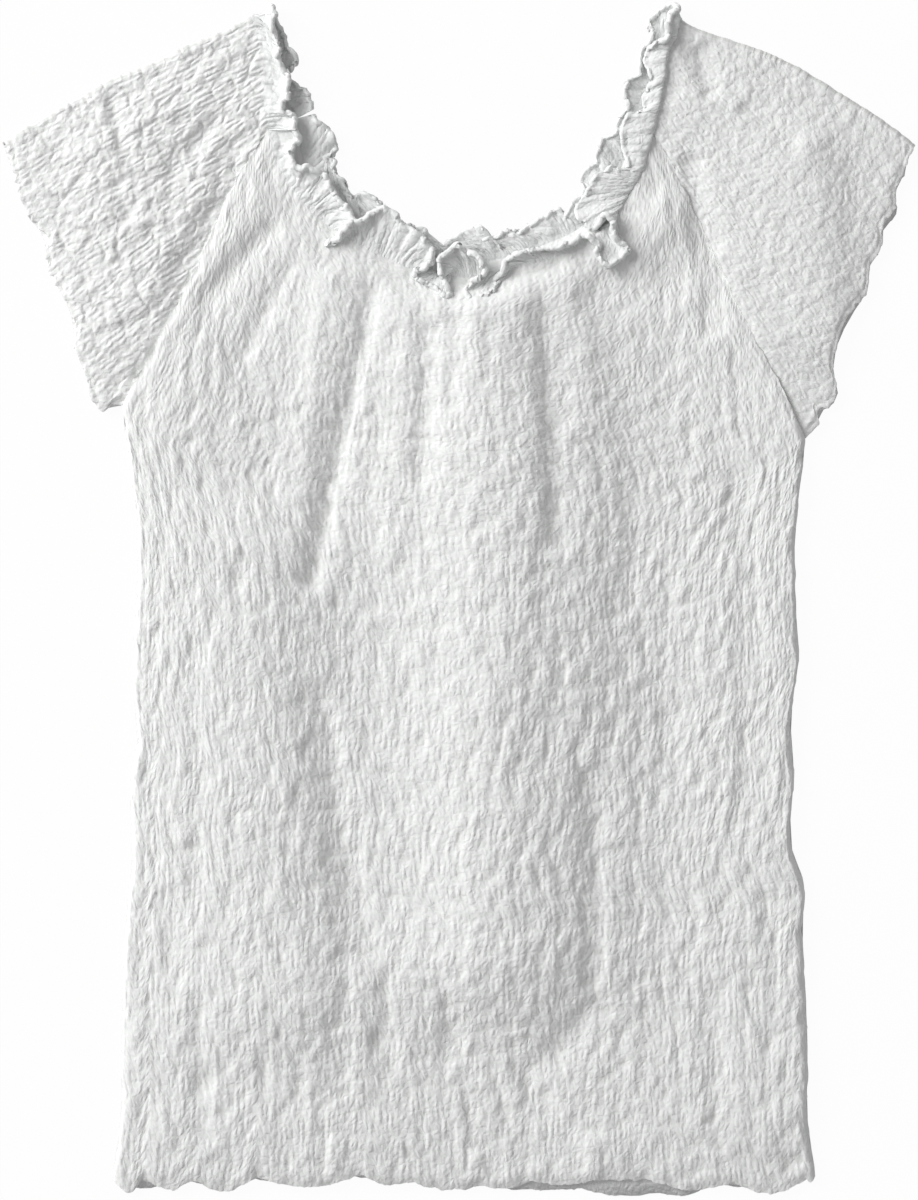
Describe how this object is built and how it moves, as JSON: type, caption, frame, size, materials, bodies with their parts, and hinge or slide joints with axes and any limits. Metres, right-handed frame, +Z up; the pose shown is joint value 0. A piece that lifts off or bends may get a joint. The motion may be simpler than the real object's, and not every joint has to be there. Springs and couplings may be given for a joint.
{
  "type": "t-shirt, crinkled pull-on top laid flat",
  "caption": "Crinkled cloth top laid flat on its back, with raglan cap sleeves, a wide scoop neck edged with a wavy frill, and scalloped cuffs and hem.",
  "frame": {"origin": "middle of the whole top's length and width, on the surface that it lies on", "axes": "+Y from the hem to the neck, +Z up, out of the front, +X to the right as the front is looked at"},
  "size_m": [0.4838, 0.6336, 0.0138],
  "materials": {
    "crinkle_cloth": "matt white crinkled cloth",
    "frill_cloth": "matt white thin gathered cloth with an overlocked edge"
  },
  "bodies": {
    "root": {"front": "crinkle_cloth", "back": "crinkle_cloth", "sleeve_left": "crinkle_cloth", "sleeve_right": "crinkle_cloth", "frill_front": "frill_cloth", "frill_back": "frill_cloth", "frill_sleeve_left": "frill_cloth", "frill_sleeve_right": "frill_cloth"}
  },
  "joints": []
}
